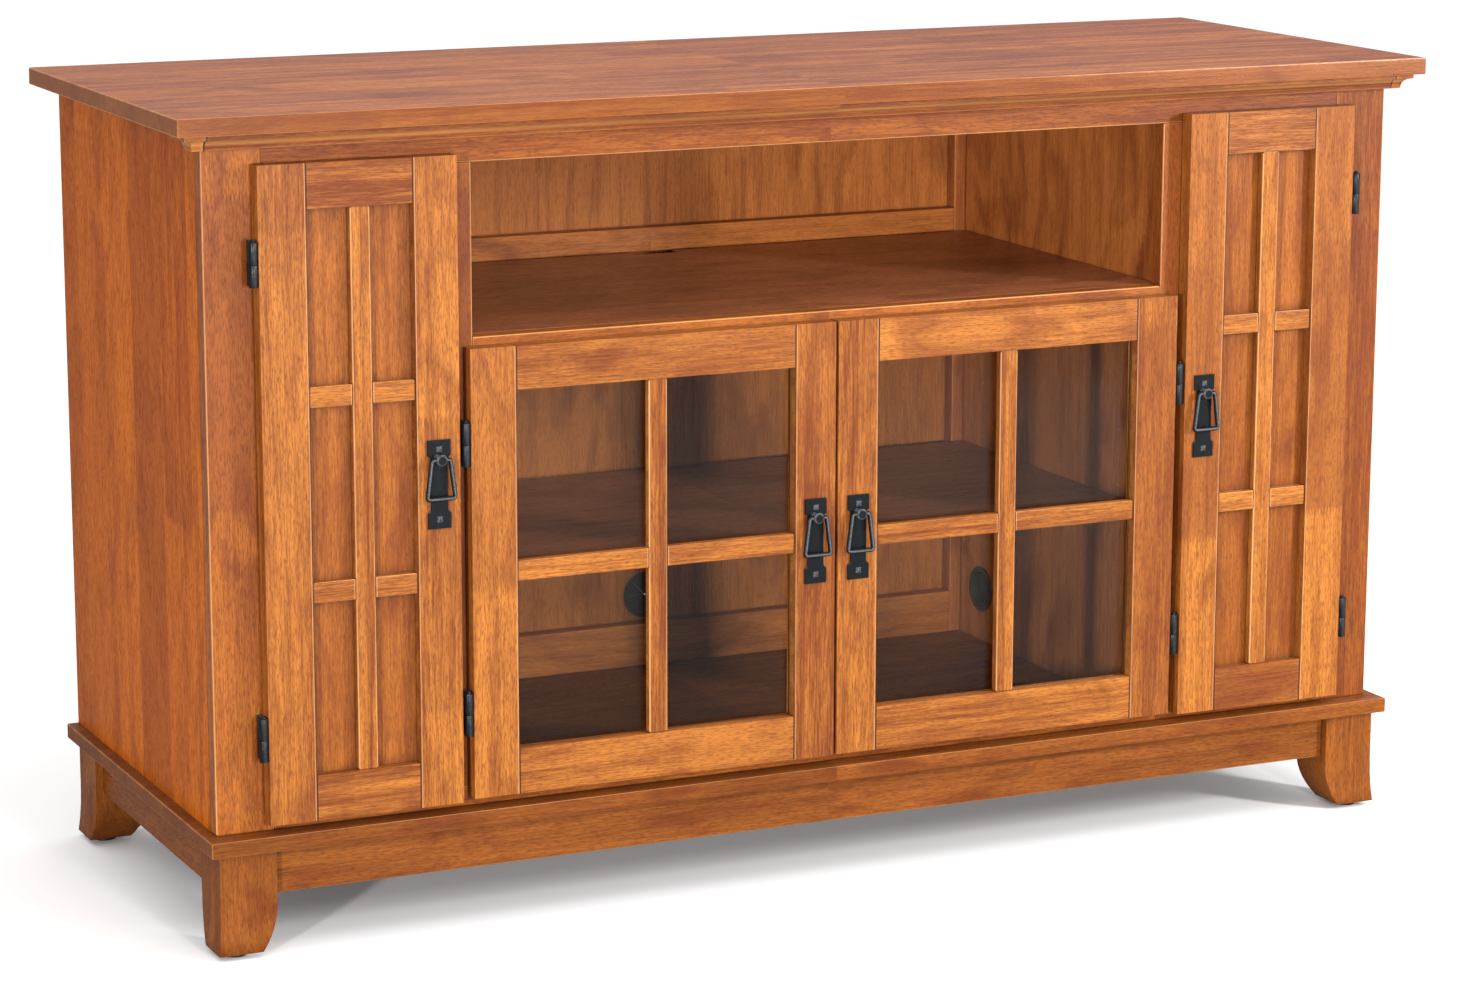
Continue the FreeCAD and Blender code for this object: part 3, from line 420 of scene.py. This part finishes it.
woodPieces = {   # node: (look, grain, boards that run another way)
    "top_board": (topWood, "x", None),
    "crown_moulding": (crownWood, "x", crownReturns),
    "side_panel_left": (sideWood, "z", None),
    "side_panel_right": (sideWood, "z", None),
    "outer_stiles": (caseStileWood, "z", None),
    "inner_stiles": (caseStileWood, "z", None),
    "top_rail": (caseWood, "x", None),
    "bottom_rail": (caseWood, "x", None),
    "bay_shelf_edge": (caseWood, "x", None),
    "bay_shelf": (shelfWood, "x", None),
    "center_shelf": (shelfWood, "x", None),
    "side_shelf_left": (shelfWood, "x", None),
    "side_shelf_right": (shelfWood, "x", None),
    "partition_left": (innerWood, "z", None),
    "partition_right": (innerWood, "z", None),
    "back_panel": (backWood, "z", None),
    "back_stiles": (innerWood, "z", None),
    "back_rails": (backWood, "x", None),
    "base_board": (baseWood, "x", None),
    "front_apron": (baseWood, "x", None),
    "rear_apron": (baseWood, "x", None),
    "side_aprons": (baseWood, "y", None),
    "front_legs": (legWood, "z", None),
    "rear_legs": (legWood, "z", None),
}
for side in ("left", "right"):
    woodPieces["panel_door_" + side + "_frame"] = (stileWood, "x", panelFrame)
    woodPieces["panel_door_" + side + "_panel"] = (panelWood, "z", None)
    woodPieces["panel_door_" + side + "_bars"] = (doorWood, "x", panelBar)
    woodPieces["glass_door_" + side + "_frame"] = (stileWood, "x", glassFrame)
    woodPieces["glass_door_" + side + "_bars"] = (doorWood, "x", glassBar)
    woodPieces["glass_door_" + side + "_stops"] = (doorWood, "x", glassFrame)

easedEdge = {"wood": 0.0012, "plate": 0.0006, "hinge": 0.0003,   # widths in m
             "weld": 0.00002, "segments": 2, "angle": 35.0}


def setFinish(node, material):
    node.data.materials.clear()
    node.data.materials.append(material)


def easeEdges(node, width):
    weld = node.modifiers.new("weld", "WELD")
    weld.merge_threshold = easedEdge["weld"]
    bevel = node.modifiers.new("easedEdge", "BEVEL")
    bevel.width = width
    bevel.segments = easedEdge["segments"]
    bevel.limit_method = "ANGLE"
    bevel.angle_limit = math.radians(easedEdge["angle"])
    bevel.use_clamp_overlap = True


for number, (nodeName, (look, grain, zone)) in enumerate(sorted(woodPieces.items())):
    setFinish(nodes[nodeName], woodFinish("stainedWood_" + nodeName, look, grain, zone, seed=float(number)))
    easeEdges(nodes[nodeName], easedEdge["wood"])
print("wood finished:", len(woodPieces), "pieces")

plateIron = blackIron("blackPaintedPlate", arrisWearAndHighlight=0.4, crestWearAndHighlight=0.0)
handledIronAndHighlight = blackIron("handledBlackIronAndHighlight", arrisWearAndHighlight=0.0, crestWearAndHighlight=0.5)
hingeIron = blackIron("blackPaintedHinge", arrisWearAndHighlight=0.0, crestWearAndHighlight=0.12)
glass = floatGlass()
plastic = blackPlastic()
zinc = zincSteel()
for nodeName, node in nodes.items():
    if nodeName in woodPieces:
        continue
    if nodeName.endswith("pane"):
        setFinish(node, glass)
    elif nodeName in ("shelf_pins", "leveler_nuts"):
        setFinish(node, zinc)
    elif nodeName.startswith("leveler") or nodeName in ("cable_grommets", "door_catches"):
        setFinish(node, plastic)
    elif nodeName.endswith("bail"):
        setFinish(node, handledIronAndHighlight)
    elif nodeName.endswith("plate"):
        setFinish(node, plateIron)
        easeEdges(node, easedEdge["plate"])
    else:
        setFinish(node, hingeIron)
        easeEdges(node, easedEdge["hinge"])
print("metal, glass and plastic finished")

# slit rubber diaphragms in the cable ports, in m: a little wider than the bore, so that the edge is held
diaphragm = {"radius": 0.0215, "thickness": 0.0012, "petals": 8, "slit": 0.0002, "hub": 0.0006, "steps": 6}
portSpan = 0.12   # grommet vertices nearer to each other than this are of one port


def portsOf(nodeName):
    # the grommets are one node: its vertices fall into one group for each port
    points = [v.co.copy() for v in nodes[nodeName].data.vertices]
    groups = []
    for point in points:
        for group in groups:
            if (group[0] - point).length < portSpan:
                group.append(point)
                break
        else:
            groups.append([point])
    ports = []
    for group in groups:
        low = Vector([min(p[i] for p in group) for i in range(3)])
        high = Vector([max(p[i] for p in group) for i in range(3)])
        axis = min(range(3), key=lambda i: high[i] - low[i])
        ports.append(((low + high) / 2, axis))
    return ports


def makeDiaphragm(number, centre, axis):
    # a ring of thin petals that cables push aside
    work = bmesh.new()
    across = [Vector([1.0 if i == j else 0.0 for i in range(3)]) for j in range(3) if j != axis]
    through = Vector([diaphragm["thickness"] / 2 if i == axis else 0.0 for i in range(3)])
    for petal in range(diaphragm["petals"]):
        start = 2 * math.pi * petal / diaphragm["petals"]
        end = 2 * math.pi * (petal + 1) / diaphragm["petals"]
        outline = []
        for distance, order in ((diaphragm["hub"], 1), (diaphragm["radius"], -1)):
            inset = diaphragm["slit"] / 2 / distance
            angles = [start + inset + (end - start - 2 * inset) * i / diaphragm["steps"]
                      for i in range(diaphragm["steps"] + 1)]
            for angle in (angles[::-1] if order < 0 else angles):
                spoke = across[0] * distance * math.cos(angle) + across[1] * distance * math.sin(angle)
                outline.append(centre + spoke)
        front = [work.verts.new(point + through) for point in outline]
        back = [work.verts.new(point - through) for point in outline]
        work.faces.new(front)
        work.faces.new(back[::-1])
        for i in range(len(outline)):
            j = (i + 1) % len(outline)
            work.faces.new((front[j], front[i], back[i], back[j]))
    bmesh.ops.recalc_face_normals(work, faces=work.faces)
    mesh = bpy.data.meshes.new("portDiaphragm_%d" % number)
    work.to_mesh(mesh)
    work.free()
    piece = bpy.data.objects.new("portDiaphragm_%d" % number, mesh)
    bpy.context.scene.collection.objects.link(piece)
    mesh.materials.append(plastic)
    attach(piece, "cabinet")


for number, (centre, axis) in enumerate(portsOf("cable_grommets")):
    makeDiaphragm(number, centre, axis)
print("cable ports fitted")

# floor, sky and lamps, in m and W
studio = {
    "floorSize": 60.0, "floorColour": "#FAFAFA", "floorBounce": "#9C9C9A",
    "floorRoughness": 0.8, "floorSpecular": 0.1,
    "skyHigh": 1.3, "skyLow": 0.22, "skyRange": (0.1, 0.7), "skyColour": "#FFFFFF",
    "frontKey": {"place": (-0.3, -4.2, 0.95), "aim": (0.15, -0.2, 0.55), "size": (0.35, 0.5), "power": 88.0},
    "leftKey": {"place": (-3.2, -3.0, 0.8), "aim": (0.1, -0.2, 0.6), "size": (0.2, 0.35), "power": 112.0},
    "rightKey": {"place": (2.2, -2.4, 1.35), "aim": (0.65, -0.2, 0.65), "size": (0.3, 0.7), "power": 84.0},
    "overhead": {"place": (0.3, -1.2, 3.2), "aim": (0.0, -0.2, 0.6), "size": (2.4, 1.6), "power": 26.0},
}


def makeFloor():
    half = studio["floorSize"] / 2
    mesh = bpy.data.meshes.new("studioFloor")
    corners = [(-half, -half, 0), (half, -half, 0), (half, half, 0), (-half, half, 0)]
    mesh.from_pydata(corners, [], [(0, 1, 2, 3)])
    floor = bpy.data.objects.new("studioFloor", mesh)
    bpy.context.scene.collection.objects.link(floor)
    material, tree, output = newMaterial("paleStudioFloor")
    # pale to look at, but it throws less light back up, as if it were a long way from the lamps
    direct = addNode(tree, "ShaderNodeLightPath", {}).outputs["Is Camera Ray"]
    colour = addNode(tree, "ShaderNodeMix", {"data_type": "RGBA", 6: toLinear(studio["floorBounce"]),
                                             7: toLinear(studio["floorColour"])}, {0: direct}).outputs[2]
    surface = addNode(tree, "ShaderNodeBsdfPrincipled",
                      {"Roughness": studio["floorRoughness"], "Specular IOR Level": studio["floorSpecular"]},
                      {"Base Color": colour})
    tree.links.new(surface.outputs[0], output.inputs[0])
    mesh.materials.append(material)


def addLamp(name):
    settings = studio[name]
    light = bpy.data.lights.new(name, "AREA")
    light.shape = "RECTANGLE"
    light.size, light.size_y = settings["size"]
    light.energy = settings["power"]
    lamp = bpy.data.objects.new(name, light)
    lamp.location = settings["place"]
    lamp.rotation_mode = "QUATERNION"
    lamp.rotation_quaternion = (Vector(settings["aim"]) - lamp.location).to_track_quat("-Z", "Y")
    lamp.visible_camera = False
    bpy.context.scene.collection.objects.link(lamp)


def makeSky():
    # bright overhead and dimmer towards the horizon, like a room with a lit ceiling
    world = bpy.data.worlds.new("studioSky")
    bpy.context.scene.world = world
    world.use_nodes = True
    tree = world.node_tree
    tree.nodes.clear()
    output = tree.nodes.new("ShaderNodeOutputWorld")
    direction = addNode(tree, "ShaderNodeTexCoord", {}).outputs["Generated"]
    height = addNode(tree, "ShaderNodeSeparateXYZ", {}, {0: direction}).outputs["Z"]
    strength = between(tree, height, studio["skyRange"], (studio["skyLow"], studio["skyHigh"]))
    sky = addNode(tree, "ShaderNodeBackground", {"Color": toLinear(studio["skyColour"])},
                  {"Strength": strength})
    tree.links.new(sky.outputs[0], output.inputs[0])


view = {   # m, radians and mm
    "place": (-1.9093, -4.0818, 1.3189), "yaw": 0.4388, "pitch": -0.2090, "roll": 0.0024,
    "lens": 101.34, "sensor": 36.0, "clipEnd": 200.0,
}


def makeCamera():
    data = bpy.data.cameras.new("camera")
    data.lens = view["lens"]
    data.sensor_width = view["sensor"]
    data.clip_end = view["clipEnd"]
    camera = bpy.data.objects.new("camera", data)
    camera.location = view["place"]
    look = Vector((math.sin(view["yaw"]) * math.cos(view["pitch"]),
                   math.cos(view["yaw"]) * math.cos(view["pitch"]), math.sin(view["pitch"])))
    camera.rotation_mode = "QUATERNION"
    camera.rotation_quaternion = look.to_track_quat("-Z", "Y") @ Quaternion((0, 0, 1), view["roll"])
    bpy.context.scene.collection.objects.link(camera)
    bpy.context.scene.camera = camera


makeFloor()
for lampName in ("frontKey", "leftKey", "rightKey", "overhead"):
    addLamp(lampName)
makeSky()
makeCamera()
bpy.context.scene.view_settings.view_transform = "Standard"
print("studio set")
